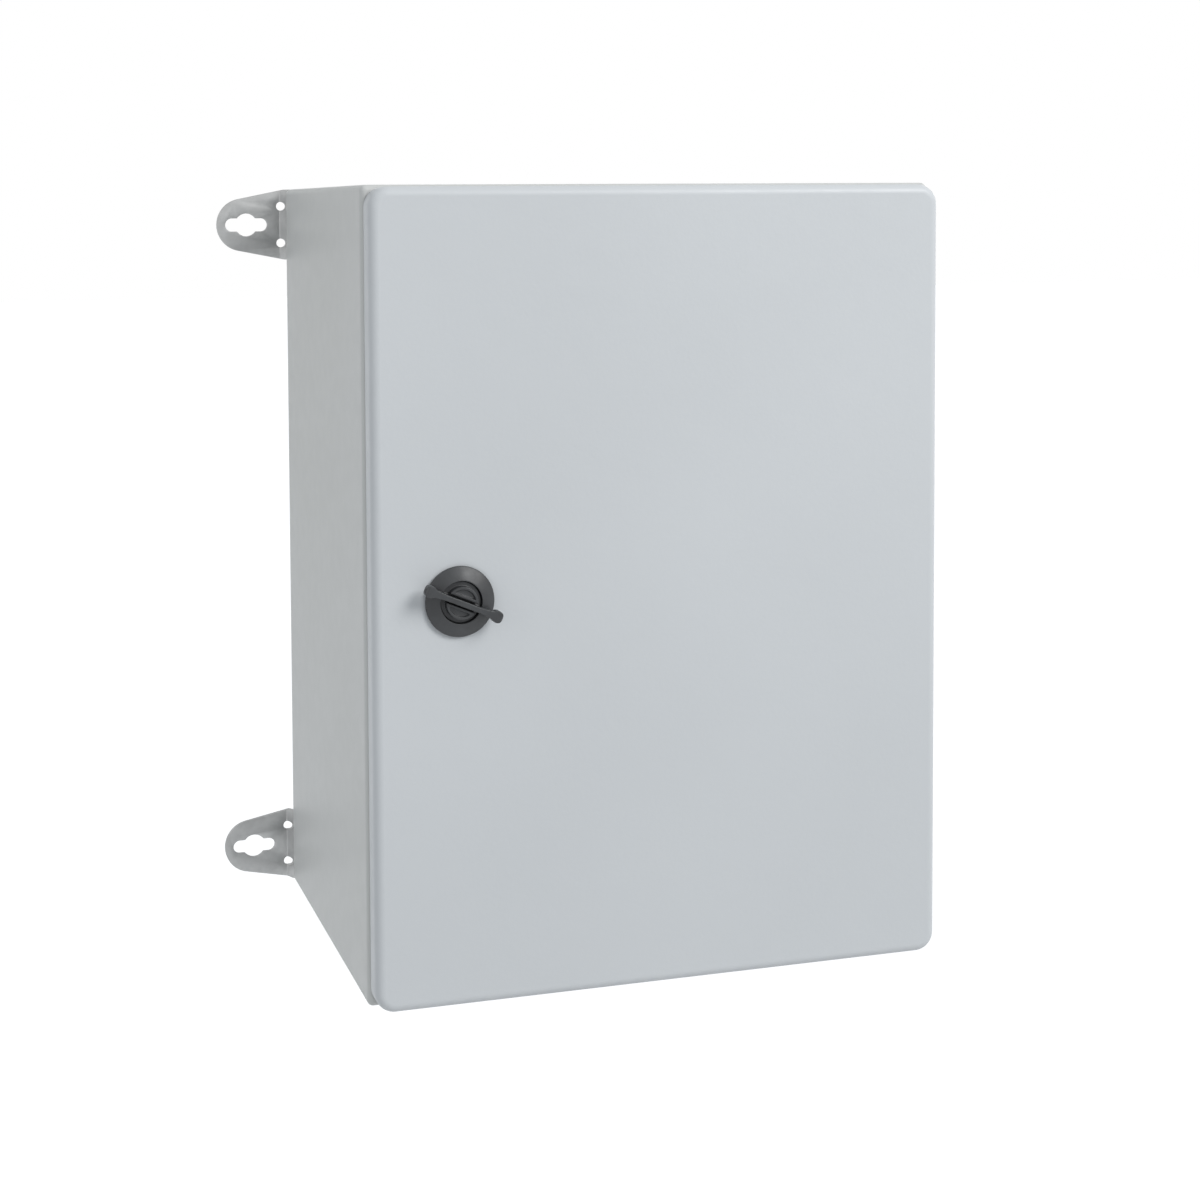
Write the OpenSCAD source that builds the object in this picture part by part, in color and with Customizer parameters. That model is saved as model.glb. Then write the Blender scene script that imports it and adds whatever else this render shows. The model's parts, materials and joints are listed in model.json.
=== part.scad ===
// Steel wall enclosure with a hinged door, wall lugs, mounting plate and quarter-turn lock.
// Millimetres. X runs right, Z up, and the front faces -Y. The wall is the plane Y = 0, and the
// origin is the middle of the four wall slots on it.

/* [Enclosure] */
// Outside width of the body and door
width = 300; // [240:1:420]
// Outside height of the body and door
height = 400; // [320:1:560]
// Depth from the body's rear face to the door's front face
depth = 210; // [170:1:300]
// Thickness of the body's and door's sheet steel
sheet_t = 1.5; // [1.2:0.1:2]
// Outside bend radius of the body
bend_r = 3; // [2.6:0.1:4]

/* [Front frame] */
// From the body's outside to the outer face of the sealing lip
gutter_w = 18; // [17.5:0.1:20]
// How far the sealing lip stands in front of the gutter
lip_h = 6; // [5:0.1:7]
// Corner radius of the sealing lip
lip_corner_r = 6; // [5:0.5:10]

/* [Door] */
// Depth of the door pan
door_d = 12; // [11.5:0.1:15]
// Groove between body and door
door_gap = 2; // [1.8:0.1:2.5]
// How far the door's sides lie inside the body's sides
door_inset = 1; // [0.5:0.1:1.2]
// Corner radius of the door, seen from the front
door_corner_r = 10; // [8:0.5:14]
// Bend radius round the door's face
door_edge_r = 4.5; // [3:0.1:5.5]
// Width of the foamed door seal
gasket_w = 10; // [6:0.1:10.5]
// Play between the resting seal and the lip
gasket_play = 0.3; // [0.3:0.05:0.5]

/* [Hinges] */
// From each end of the door to the middle of its hinge
hinge_end = 70; // [50:1:100]
// From the body's side to the hinge axis
hinge_inset = 4.6; // [4.3:0.1:4.8]
// Diameter of the hinge pin
hinge_pin_d = 3.5; // [3:0.1:4]
// Radius of the knuckle and of the leaf's eyes
knuckle_r = 3.4; // [3.2:0.1:3.6]
// Length of the fixed knuckle
knuckle_len = 16; // [12:1:20]
// Thickness of each eye of the leaf
eye_t = 3; // [2:0.1:4]
// Thickness of the leaf's plate
leaf_t = 1.8; // [1.5:0.1:2.2]
// Length of the leaf's plate
leaf_len = 56; // [52:1:64]
// Thickness of the hinge block's foot
foot_t = 3; // [2:0.1:3.4]
// Length of the hinge block's foot
foot_len = 40; // [38:1:46]
// Diameter of the hinge's studs and screws
hinge_screw_d = 4; // [3:0.5:4]

/* [Wall lugs] */
// Thickness of the lug
lug_t = 2.5; // [2:0.1:4]
// How far the lug holds the body off the wall, behind its strip
lug_step = 6; // [5.6:0.1:12]
// Height of the lug where it meets the body
lug_h = 40; // [36:1:54]
// End radius of the lug
lug_end_r = 15; // [13:0.5:17]
// Length of the strip behind the body
strip_len = 37; // [36:1:48]
// Width of the step between lug and strip
step_w = 4.5; // [4:0.1:6]
// From the body's side to the centre of the wall slot
slot_reach = 21.5; // [20.5:0.1:28]
// Width of the wall slot
slot_w = 7.5; // [6:0.1:9]
// Length of the wall slot
slot_len = 24.2; // [20:0.1:26]
// Diameter of the entry in the middle of the slot
slot_entry_d = 13; // [11:0.1:15]
// Diameter of the relief holes at the step
relief_d = 5; // [3:0.1:5.5]
// Distance between the relief holes
relief_pitch = 21; // [16:0.5:26]
// From the body's side to the fixing bolt
bolt_inset = 25; // [23:0.5:26]
// Diameter of the fixing bolt
bolt_d = 8; // [6:0.5:8]
// Length of the fixing bolt under its head
bolt_len = 16; // [15:0.5:17]

/* [Mounting plate] */
// Clear margin between the plate's sides and the body's outside
plate_margin = 25; // [22.5:0.5:50]
// Thickness of the mounting plate
plate_t = 2; // [1.5:0.1:3]
// Height of the studs' collars behind the plate
collar_h = 15; // [14:0.5:30]
// From the plate's edges to its studs
stud_inset = 12.5; // [12:0.5:20]
// Thread diameter of the plate's studs
stud_d = 8; // [6:0.5:8]

/* [Gland plate] */
// Width of the cable opening in the floor
gland_w = 180; // [120:1:200]
// Depth of the cable opening in the floor
gland_d = 100; // [60:1:106]
// Overlap of the gland plate round the opening
gland_rim = 16; // [12:0.5:18]
// Thickness of the gland plate
gland_t = 2; // [1.5:0.1:3]
// Thickness of the gland plate's seal
gland_seal_t = 2.5; // [1.5:0.1:4]
// Thread diameter of the gland plate's studs
gland_stud_d = 5; // [4:0.5:6]

/* [Lock] */
// From the door's side to the lock's axis
lock_inset = 43.5; // [38:0.5:46]
// Diameter of the lock's front flange
rosette_d = 34.5; // [31:0.5:40]
// Diameter of the lock's barrel
barrel_d = 22; // [20:0.5:24]
// Width across the barrel's two flats
barrel_flats = 20; // [18:0.5:22]
// Diameter of the turning shaft
shaft_d = 12; // [10:0.5:13]
// Diameter of the wing's disc
disc_d = 20.2; // [17:0.1:21]
// Length of the wing
wing_len = 41.5; // [34:0.5:50]
// Thickness of the wing at its waist
wing_t = 2.6; // [2:0.1:4]
// Radius of the wing's rounded ends
wing_end_r = 2.9; // [2.4:0.1:4]
// How far the wing stands in front of the door
wing_h = 11; // [9.5:0.5:15]
// Turn of the wing from level while the lock is open
wing_turn = 23; // [0:1:45]
// Length of the tongue from the lock's axis
tongue_len = 34; // [31:0.5:37]
// Width of the tongue
tongue_w = 14; // [12:0.5:18]
// Thickness of the tongue
tongue_t = 3; // [2:0.1:4]

/* [Earthing] */
// Thread diameter of the earth studs
earth_d = 6; // [5:0.5:8]
// Length of the earth studs
earth_len = 16; // [14:0.5:20]
// Height of the earth studs above the floor
earth_up = 50; // [30:1:90]

/* [Hidden] */
$fn = 96;
cut = 1;                       // overrun of through cuts
run_play = 0.05;               // radial play of turning fits and of threads
hole_play = 0.5;               // radial play of clearance holes
powder_coat = [0.83, 0.84, 0.84];
coated_side = [0.74, 0.74, 0.72];
zinc = [0.72, 0.73, 0.74];
dark_cast = [0.2, 0.21, 0.22];
rubber = [0.12, 0.12, 0.13];
foam = [0.3, 0.3, 0.31];

// Depths are measured forward from the body's rear face
back_y = -(lug_step + lug_t);
body_d = depth - door_d - door_gap;
door_back = body_d + door_gap;
door_inside = depth - sheet_t;
door_w = width - 2 * door_inset;
door_h = height - 2 * door_inset;
bend_in = bend_r - sheet_t;

// Sealing lip and seal
lip_w = width - 2 * gutter_w;
lip_tall = height - 2 * gutter_w;
lip_top = body_d + lip_h;
gasket_t = door_inside - lip_top - gasket_play;
gasket_out = (gasket_w - sheet_t) / 2;
gasket_crown = 1.5;

// Hinges
hinge_x = width / 2 - hinge_inset;
hinge_z = height / 2 - hinge_end;
knuckle_play = 0.3;
hinge_stand = door_d + door_gap - sheet_t - leaf_t - knuckle_play - knuckle_r;
hinge_q = body_d + hinge_stand;
eye_play = 0.2;
eye_far = knuckle_len / 2 + eye_play + eye_t;
pin_len = 2 * eye_far + 3;
foot_in = gutter_w - hinge_inset - bend_in;
foot_out = -0.5;
foot_screw_in = foot_in - 1.75 * hinge_screw_d / 2;
foot_screw_end = 6;
foot_screw_pitch = foot_len - 2 * foot_screw_end;
leaf_in = 8;
leaf_out = hinge_inset - door_inset - door_edge_r;
leaf_stud_in = 3.4;
leaf_stud_end = 5;
leaf_stud_pitch = leaf_len - 2 * leaf_stud_end;
notch_play = 1;
notch_h = foot_len + 2 * notch_play;
notch_d = hinge_q + knuckle_r - door_back;
screw_head_h = 2.2;
m4_nut_af = 1.75 * hinge_screw_d;
m4_nut_t = 0.8 * hinge_screw_d;

// Wall lugs and their bolts
slot_x = width / 2 + slot_reach;
slot_z = height / 2 - lug_h / 2;
lug_reach = slot_reach + 1.9;
step_in = 3.5;
relief_out = step_w - step_in + 0.7;
bolt_head_h = 0.66 * bolt_d;
bolt_af = 1.625 * bolt_d;
seal_washer_t = 2;
seal_washer_d = 2.5 * bolt_d;
bolt_nut_t = 0.8 * bolt_d;
strip_corner_r = 6;

// Mounting plate
plate_w = width - 2 * plate_margin;
plate_drop = 5;
plate_h = 2 * (slot_z - plate_drop);
stud_x = plate_w / 2 - stud_inset;
stud_z = plate_h / 2 - stud_inset;
collar_d = stud_d + 6;
plate_q = sheet_t + collar_h;
plate_washer_t = 1.6;
plate_nut_t = 0.8 * stud_d;
plate_nut_af = 1.625 * stud_d;
thread_over = 3;
plate_corner_r = 5;

// Gland plate, on the inside of the floor
floor_z = -height / 2 + sheet_t;
gland_q = body_d / 2;
gland_corner_r = 6;
gland_plate_z = floor_z + gland_seal_t;
gland_nut_z = gland_plate_z + gland_t;
gland_nut_t = 0.8 * gland_stud_d;
gland_nut_af = 1.6 * gland_stud_d;
gland_stud_x = (gland_w + gland_rim) / 2;
gland_stud_q = (gland_d + gland_rim) / 2;

// Lock: heights are measured forward from the door's face
lock_x = -width / 2 + lock_inset;
lock_seal_t = 1;
rim_h = 1.8;
dome_h = 6.4;
dome_rise = dome_h - rim_h;
dome_r = (pow(rosette_d / 2, 2) + pow(dome_rise, 2)) / (2 * dome_rise);
recess_floor = 1.8;
recess_r = disc_d / 2 + 0.2;
disc_base = recess_floor + 0.1;
disc_top = 3.2;
wing_base = 5.2;
wing_dip = 1.5;
wing_tip_r = 2.4;
pad_top = 6.8;
pad_dip = 1.2;
pad_r = disc_d / 2 - 2.2;
pad_rim = 1.3;
pad_gap = 1;
barrel_end = -(door_d + door_gap + 1);
tongue_front = barrel_end - 1;
tongue_back = tongue_front - tongue_t;
square_w = 8;
square_play = 0.1;
tongue_hub_r = 9;
tongue_screw_d = 6;
tongue_washer_t = 1.5;
tongue_head_h = 4;
tongue_thread = 12;
ring_nut_t = 5;
ring_nut_af = barrel_d + 5;
o_ring_h = -5;
o_ring_r = 0.9;

// Earth studs
earth_nut_t = 0.8 * earth_d;
earth_nut_af = 1.65 * earth_d;
earth_foot_d = 2 * earth_d;
earth_foot_t = 2;
earth_z = -height / 2 + earth_up;
earth_door_in = 50;
earth_door_x = width / 2 - earth_door_in;

// Places a front view: X right, Y up and Z forward from the body's rear face
module front(q = 0) {
    translate([0, back_y - q, 0]) rotate([90, 0, 0]) children();
}

// Looks along the lock's axis, with Z forward from the door's face
module at_lock() {
    front(depth) translate([lock_x, 0, 0]) children();
}

// Looks down on the floor: X right and Y to the back
module on_floor(z) {
    translate([0, back_y - gland_q, z]) children();
}

// Copies a child to four places, mirrored about the middle
module four(x, y) {
    for (sx = [-1, 1], sy = [-1, 1]) translate([sx * x, sy * y, 0]) children();
}

module round_rect(w, h, r) {
    square([w - 2 * r, h], center = true);
    square([w, h - 2 * r], center = true);
    four(w / 2 - r, h / 2 - r) circle(r);
}

// Sweeps a profile round a rounded rectangle. X of the profile counts from the corner's axis
module sweep_rect(w, h, r) {
    for (i = [0:3]) {
        across = i % 2 == 0 ? w : h;
        along = i % 2 == 0 ? h : w;
        rotate([0, 0, 90 * i]) translate([across / 2 - r, along / 2 - r, 0]) {
            rotate_extrude(angle = 90) children();
            rotate([90, 0, 0]) linear_extrude(along - 2 * r) children();
        }
    }
}

// Right half of a capsule, which is the edge view of the folded body
module half_capsule(r) {
    intersection() {
        union() {
            translate([0, bend_r]) circle(r);
            translate([0, body_d - bend_r]) circle(r);
            translate([-r, bend_r]) square([2 * r, body_d - 2 * bend_r]);
        }
        square([bend_r, body_d]);
    }
}

module hex_nut(af, t, bore) {
    difference() {
        cylinder(d = af / cos(30), h = t, $fn = 6);
        translate([0, 0, -cut]) cylinder(d = bore + 2 * run_play, h = t + 2 * cut);
    }
}

module washer(outer, t, bore) {
    difference() {
        cylinder(d = outer, h = t);
        translate([0, 0, -cut]) cylinder(d = bore + 2 * hole_play, h = t + 2 * cut);
    }
}

// ---- Body ----

module body_holes() {
    front() four(width / 2 - bolt_inset, slot_z)
        translate([0, 0, -cut]) cylinder(d = bolt_d + 2 * hole_play, h = sheet_t + 2 * cut);
    on_floor(-height / 2 - cut) linear_extrude(sheet_t + 2 * cut)
        round_rect(gland_w, gland_d, gland_corner_r);
    front(body_d) for (s = [-1, 1]) foot_screw_places(s)
        translate([0, 0, -sheet_t - cut]) cylinder(d = hinge_screw_d + 2 * hole_play, h = sheet_t + 2 * cut);
}

// The four folded sides, up to the ends of the bends at the front and the back
module body_shell() {
    color(coated_side) difference() {
        front() sweep_rect(width, height, bend_r) difference() {
            half_capsule(bend_r);
            half_capsule(bend_in);
        }
        body_holes();
    }
}

module rear_panel() {
    color(coated_side) difference() {
        front() linear_extrude(sheet_t) square([width - 2 * bend_r, height - 2 * bend_r], center = true);
        body_holes();
    }
}

// The rain gutter's flange and the lip that the door's seal presses on
module front_frame() {
    lip_bend = lip_corner_r + bend_in;
    color(coated_side) difference() {
        front() {
            translate([0, 0, body_d - sheet_t]) linear_extrude(sheet_t) difference() {
                square([width - 2 * bend_r, height - 2 * bend_r], center = true);
                round_rect(lip_w + 2 * bend_in, lip_tall + 2 * bend_in, lip_bend);
            }
            sweep_rect(lip_w + 2 * bend_in, lip_tall + 2 * bend_in, lip_bend)
                translate([lip_bend, body_d + bend_in]) intersection() {
                    difference() {
                        circle(bend_r);
                        circle(bend_in);
                    }
                    translate([-bend_r, -bend_r]) square(bend_r);
                }
            translate([0, 0, body_d + bend_in]) linear_extrude(lip_h - bend_in) difference() {
                round_rect(lip_w, lip_tall, lip_corner_r);
                round_rect(lip_w - 2 * sheet_t, lip_tall - 2 * sheet_t, lip_corner_r - sheet_t);
            }
        }
        body_holes();
    }
}

// ---- Door ----

module door_profile() {
    face_x = door_corner_r - door_edge_r;
    face_y = door_d - door_edge_r;
    translate([door_corner_r - sheet_t, 0]) square([sheet_t, face_y]);
    translate([0, door_d - sheet_t]) square([face_x, sheet_t]);
    translate([face_x, face_y]) intersection() {
        difference() {
            circle(door_edge_r);
            circle(door_edge_r - sheet_t);
        }
        square(door_edge_r);
    }
}

module barrel_outline(play) {
    intersection() {
        circle(d = barrel_d + 2 * play);
        square([barrel_flats + 2 * play, 2 * barrel_d], center = true);
    }
}

module door_panel() {
    color(powder_coat) difference() {
        front(door_back) {
            sweep_rect(door_w, door_h, door_corner_r) door_profile();
            translate([0, 0, door_d - sheet_t]) linear_extrude(sheet_t)
                square([door_w - 2 * door_corner_r, door_h - 2 * door_corner_r], center = true);
        }
        front(door_back) for (s = [-1, 1])
            translate([door_w / 2 - sheet_t - notch_play, s * hinge_z - notch_h / 2, -cut])
                cube([sheet_t + notch_play + cut, notch_h, notch_d + cut]);
        at_lock() translate([0, 0, -sheet_t - cut]) linear_extrude(sheet_t + 2 * cut)
            barrel_outline(0.2);
    }
}

// The seal lies on the door and its crowned side faces the lip
module gasket_profile() {
    crown_r = (pow(gasket_w / 2, 2) + pow(gasket_crown, 2)) / (2 * gasket_crown);
    intersection() {
        square([gasket_w, gasket_t]);
        translate([gasket_w / 2, crown_r]) union() {
            circle(crown_r);
            translate([-gasket_w, 0]) square([2 * gasket_w, gasket_t]);
        }
    }
}

module door_gasket() {
    seal_r = lip_corner_r + gasket_out + 4;
    seal_w = lip_w + 2 * gasket_out;
    seal_tall = lip_tall + 2 * gasket_out;
    color(foam) front(door_inside - gasket_t) sweep_rect(seal_w, seal_tall, seal_r)
        translate([seal_r - gasket_w, 0]) gasket_profile();
}

// ---- Wall lugs ----

// Block with the lug's front view: X counts outward from the body's side
module lug_block() {
    block_t = lug_step + lug_t;
    away = sqrt(pow(lug_reach, 2) + pow(lug_h / 2, 2));
    tangent = atan2(lug_h / 2, -lug_reach) - acos(lug_end_r / away);
    tx = lug_reach + lug_end_r * cos(tangent);
    ty = lug_end_r * sin(tangent);
    translate([lug_reach, 0, 0]) cylinder(r = lug_end_r, h = block_t);
    linear_extrude(block_t) polygon([[0, lug_h / 2], [tx, ty], [tx, -ty], [0, -lug_h / 2]]);
    translate([-strip_len / 2, 0, 0]) linear_extrude(block_t) round_rect(strip_len, lug_h, strip_corner_r);
    translate([-strip_len / 2, -lug_h / 2, 0]) cube([strip_len / 2, lug_h, block_t]);
}

// Edge view of a lug: X outward, Y forward from the wall
module lug_edge() {
    far = lug_reach + lug_end_r;
    lean = lug_t * tan(atan2(lug_step, step_w) / 2);
    polygon([
        [far, 0], [step_w - step_in, 0], [-step_in, lug_step], [-strip_len, lug_step],
        [-strip_len, lug_step + lug_t], [lean - step_in, lug_step + lug_t],
        [step_w - step_in + lean, lug_t], [far, lug_t]
    ]);
}

module lug() {
    difference() {
        intersection() {
            lug_block();
            translate([0, lug_h / 2, 0]) rotate([90, 0, 0]) linear_extrude(lug_h) lug_edge();
        }
        translate([slot_reach, 0, -cut]) linear_extrude(lug_t + 2 * cut) {
            square([slot_len - slot_w, slot_w], center = true);
            for (s = [-1, 1]) translate([s * (slot_len - slot_w) / 2, 0]) circle(d = slot_w);
            circle(d = slot_entry_d);
        }
        for (s = [-1, 1]) translate([relief_out, s * relief_pitch / 2, -cut])
            cylinder(d = relief_d, h = lug_step + lug_t + 2 * cut);
        translate([-bolt_inset, 0, -cut]) cylinder(d = bolt_d + 2 * hole_play, h = lug_step + lug_t + 2 * cut);
    }
}

module place_lug(side, up) {
    color(zinc) rotate([90, 0, 0]) translate([side * width / 2, up * slot_z, 0])
        mirror([side < 0 ? 1 : 0, 0, 0]) lug();
}

module wall_lug_top_left() { place_lug(-1, 1); }

module wall_lug_top_right() { place_lug(1, 1); }

module wall_lug_bottom_left() { place_lug(-1, -1); }

module wall_lug_bottom_right() { place_lug(1, -1); }

module lug_bolts() {
    color(zinc) front(-lug_t) four(width / 2 - bolt_inset, slot_z) {
        mirror([0, 0, 1]) cylinder(d = bolt_af / cos(30), h = bolt_head_h, $fn = 6);
        cylinder(d = bolt_d, h = bolt_len);
    }
}

module lug_sealing_washers() {
    color(rubber) front(sheet_t) four(width / 2 - bolt_inset, slot_z)
        washer(seal_washer_d, seal_washer_t, bolt_d);
}

module lug_nuts() {
    color(zinc) front(sheet_t + seal_washer_t) four(width / 2 - bolt_inset, slot_z)
        hex_nut(bolt_af, bolt_nut_t, bolt_d);
}

// ---- Hinges ----

// Places of the two screws in a hinge block's foot
module foot_screw_places(s) {
    for (e = [-1, 1])
        translate([hinge_x - foot_screw_in, s * hinge_z + e * foot_screw_pitch / 2, 0]) children();
}

module leaf_stud_places(s) {
    for (e = [-1, 1])
        translate([hinge_x - leaf_stud_in, s * hinge_z + e * leaf_stud_pitch / 2, 0]) children();
}

// Seen from above: X right of the hinge axis, Y forward of it
module along_hinge(s, length) {
    translate([hinge_x, back_y - hinge_q, s * hinge_z - length / 2])
        linear_extrude(length) mirror([0, 1]) children();
}

module hinge_block(s) {
    foot_y = foot_t - hinge_stand;
    color(zinc) difference() {
        union() {
            along_hinge(s, foot_len) translate([-foot_in, -hinge_stand]) square([foot_in + foot_out, foot_t]);
            along_hinge(s, knuckle_len) {
                circle(knuckle_r);
                polygon([[-knuckle_r, 0], [foot_out, 0], [foot_out, foot_y], [-knuckle_r - 2, foot_y]]);
            }
        }
        along_hinge(s, knuckle_len + 2 * cut) circle(d = hinge_pin_d);
        front(body_d) foot_screw_places(s)
            translate([0, 0, -cut]) cylinder(d = hinge_screw_d + 2 * hole_play, h = foot_t + 2 * cut);
    }
}

module hinge_block_top() { hinge_block(1); }

module hinge_block_bottom() { hinge_block(-1); }

module hinge_leaf(s) {
    plate_y = door_inside - hinge_q - leaf_t;
    color(zinc) difference() {
        union() {
            along_hinge(s, leaf_len) translate([-leaf_in, plate_y]) square([leaf_in + leaf_out, leaf_t]);
            difference() {
                along_hinge(s, 2 * eye_far) {
                    circle(knuckle_r);
                    translate([-knuckle_r, 0]) square([knuckle_r + leaf_out, plate_y]);
                }
                along_hinge(s, knuckle_len + 2 * eye_play)
                    translate([-2 * knuckle_r, -2 * knuckle_r]) square([4 * knuckle_r, 2 * knuckle_r + plate_y]);
            }
        }
        along_hinge(s, 2 * eye_far + 2 * cut) circle(d = hinge_pin_d + 2 * run_play);
        front(door_inside) leaf_stud_places(s)
            translate([0, 0, -leaf_t - cut]) cylinder(d = hinge_screw_d + 2 * run_play, h = leaf_t + 2 * cut);
    }
}

module hinge_leaf_top() { hinge_leaf(1); }

module hinge_leaf_bottom() { hinge_leaf(-1); }

module hinge_pin_top() {
    color(zinc) along_hinge(1, pin_len) circle(d = hinge_pin_d);
}

module hinge_pin_bottom() {
    color(zinc) along_hinge(-1, pin_len) circle(d = hinge_pin_d);
}

module hinge_block_screws() {
    color(zinc) front(body_d) for (s = [-1, 1]) foot_screw_places(s) {
        translate([0, 0, foot_t]) cylinder(d = 1.75 * hinge_screw_d, h = screw_head_h);
        translate([0, 0, -sheet_t - m4_nut_t - 1])
            cylinder(d = hinge_screw_d, h = foot_t + sheet_t + m4_nut_t + 1);
    }
}

module hinge_block_nuts() {
    color(zinc) front(body_d - sheet_t - m4_nut_t) for (s = [-1, 1]) foot_screw_places(s)
        hex_nut(m4_nut_af, m4_nut_t, hinge_screw_d);
}

module hinge_leaf_studs() {
    stud_l = leaf_t + m4_nut_t + 1;
    color(zinc) front(door_inside - stud_l) for (s = [-1, 1]) leaf_stud_places(s)
        cylinder(d = hinge_screw_d, h = stud_l);
}

module hinge_leaf_nuts() {
    color(zinc) front(door_inside - leaf_t - m4_nut_t) for (s = [-1, 1]) leaf_stud_places(s)
        hex_nut(m4_nut_af, m4_nut_t, hinge_screw_d);
}

// ---- Mounting plate ----

module mounting_plate() {
    color(zinc) front(plate_q) linear_extrude(plate_t) difference() {
        round_rect(plate_w, plate_h, plate_corner_r);
        four(stud_x, stud_z) circle(d = stud_d + 2 * hole_play);
    }
}

module plate_studs() {
    color(zinc) front(sheet_t) four(stud_x, stud_z) {
        cylinder(d = collar_d, h = collar_h);
        cylinder(d = stud_d, h = collar_h + plate_t + plate_washer_t + plate_nut_t + thread_over);
    }
}

module plate_washers() {
    color(zinc) front(plate_q + plate_t) four(stud_x, stud_z) washer(2 * stud_d, plate_washer_t, stud_d);
}

module plate_nuts() {
    color(zinc) front(plate_q + plate_t + plate_washer_t) four(stud_x, stud_z)
        hex_nut(plate_nut_af, plate_nut_t, stud_d);
}

// ---- Gland plate ----

// Three studs along the front and three along the back of the cable opening
module gland_places() {
    for (i = [-1:1], j = [-1, 1]) translate([i * gland_stud_x, j * gland_stud_q, 0]) children();
}

module gland_outline(stud_play) {
    difference() {
        round_rect(gland_w + 2 * gland_rim, gland_d + 2 * gland_rim, gland_corner_r);
        gland_places() circle(d = gland_stud_d + 2 * stud_play);
    }
}

module gland_plate() {
    color(powder_coat) on_floor(gland_plate_z) linear_extrude(gland_t) gland_outline(hole_play);
}

module gland_seal() {
    color(rubber) on_floor(floor_z) linear_extrude(gland_seal_t) difference() {
        gland_outline(run_play);
        round_rect(gland_w, gland_d, gland_corner_r);
    }
}

module gland_studs() {
    color(zinc) on_floor(floor_z) gland_places()
        cylinder(d = gland_stud_d, h = gland_seal_t + gland_t + gland_nut_t + 2);
}

module gland_nuts() {
    color(zinc) on_floor(gland_nut_z) gland_places() hex_nut(gland_nut_af, gland_nut_t, gland_stud_d);
}

// ---- Lock ----

module lock_housing() {
    color(dark_cast) at_lock() difference() {
        union() {
            rotate_extrude() intersection() {
                translate([0, lock_seal_t]) square([rosette_d / 2, dome_h]);
                translate([0, dome_h - dome_r]) circle(dome_r);
            }
            translate([0, 0, barrel_end]) linear_extrude(lock_seal_t - barrel_end) barrel_outline(0);
        }
        translate([0, 0, recess_floor]) cylinder(r = recess_r, h = dome_h);
        translate([0, 0, barrel_end - cut]) cylinder(d = shaft_d + 2 * run_play, h = dome_h - barrel_end);
        translate([0, 0, o_ring_h - o_ring_r - run_play])
            cylinder(d = shaft_d + 4 * o_ring_r + 6 * run_play, h = 2 * (o_ring_r + run_play));
    }
}

module lock_seal() {
    color(rubber) at_lock() difference() {
        cylinder(d = rosette_d - 2, h = lock_seal_t);
        translate([0, 0, -cut]) cylinder(d = barrel_d + 2 * run_play, h = lock_seal_t + 2 * cut);
    }
}

module lock_ring_nut() {
    color(zinc) at_lock() translate([0, 0, -sheet_t - ring_nut_t]) rotate([0, 0, 30])
        hex_nut(ring_nut_af, ring_nut_t, barrel_d);
}

module lock_o_ring() {
    color(rubber) at_lock() translate([0, 0, o_ring_h]) rotate_extrude()
        translate([shaft_d / 2 + o_ring_r + run_play, 0]) circle(o_ring_r);
}

// Front view of the wing: rounded ends joined by a waist
module wing_outline() {
    end_x = wing_len / 2 - wing_end_r;
    neck_t = (wing_t + 2 * wing_end_r) / 2;
    for (s = [-1, 1]) translate([s * end_x, 0]) circle(wing_end_r);
    polygon([
        [-end_x, neck_t / 2], [-end_x / 2, wing_t / 2], [end_x / 2, wing_t / 2], [end_x, neck_t / 2],
        [end_x, -neck_t / 2], [end_x / 2, -wing_t / 2], [-end_x / 2, -wing_t / 2], [-end_x, -neck_t / 2]
    ]);
}

// Edge view of the wing: its front edge dips between two rounded tips
module wing_side() {
    dip_r = (pow(wing_len / 2, 2) + pow(wing_dip, 2)) / (2 * wing_dip);
    translate([-disc_d / 2, disc_base]) square([disc_d, wing_h / 2]);
    difference() {
        translate([0, (wing_base + wing_h) / 2]) round_rect(wing_len, wing_h - wing_base, wing_tip_r);
        translate([0, wing_h - wing_dip + dip_r]) circle(dip_r);
    }
}

// A raised pad on each side of the wing, with a rim round its hollow
module disc_pads() {
    from = wing_t / 2 + pad_gap;
    for (s = [0, 180]) rotate([0, 0, s]) difference() {
        translate([0, 0, disc_base]) linear_extrude(pad_top - disc_base) pad_outline(pad_r, from);
        translate([0, 0, pad_top - pad_dip]) linear_extrude(pad_dip + cut)
            pad_outline(pad_r - pad_rim, from + pad_rim);
    }
}

module pad_outline(r, from) {
    intersection() {
        circle(r);
        translate([-r, from]) square([2 * r, r]);
    }
}

module wing_knob() {
    color(dark_cast) at_lock() difference() {
        union() {
            rotate([0, 0, -wing_turn]) {
                intersection() {
                    linear_extrude(wing_h) wing_outline();
                    translate([0, wing_end_r, 0]) rotate([90, 0, 0]) linear_extrude(2 * wing_end_r) wing_side();
                }
                disc_pads();
            }
            translate([0, 0, disc_base]) cylinder(d = disc_d, h = disc_top - disc_base);
            translate([0, 0, tongue_front]) cylinder(d = shaft_d, h = disc_base - tongue_front);
            translate([-square_w / 2, -square_w / 2, tongue_back + 0.2])
                cube([square_w, square_w, tongue_t]);
        }
        translate([0, 0, tongue_back - cut])
            cylinder(d = tongue_screw_d + 2 * run_play, h = tongue_thread + 1 + cut);
    }
}

module lock_tongue() {
    hole_w = square_w + 2 * square_play;
    color(zinc) at_lock() translate([0, 0, tongue_back]) linear_extrude(tongue_t) difference() {
        union() {
            circle(tongue_hub_r);
            translate([-tongue_w / 2, -tongue_len + tongue_w / 2]) square([tongue_w, tongue_len - tongue_w / 2]);
            translate([0, -tongue_len + tongue_w / 2]) circle(d = tongue_w);
        }
        square(hole_w, center = true);
    }
}

module tongue_washer() {
    color(zinc) at_lock() translate([0, 0, tongue_back - tongue_washer_t])
        washer(square_w + 6, tongue_washer_t, tongue_screw_d);
}

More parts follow.
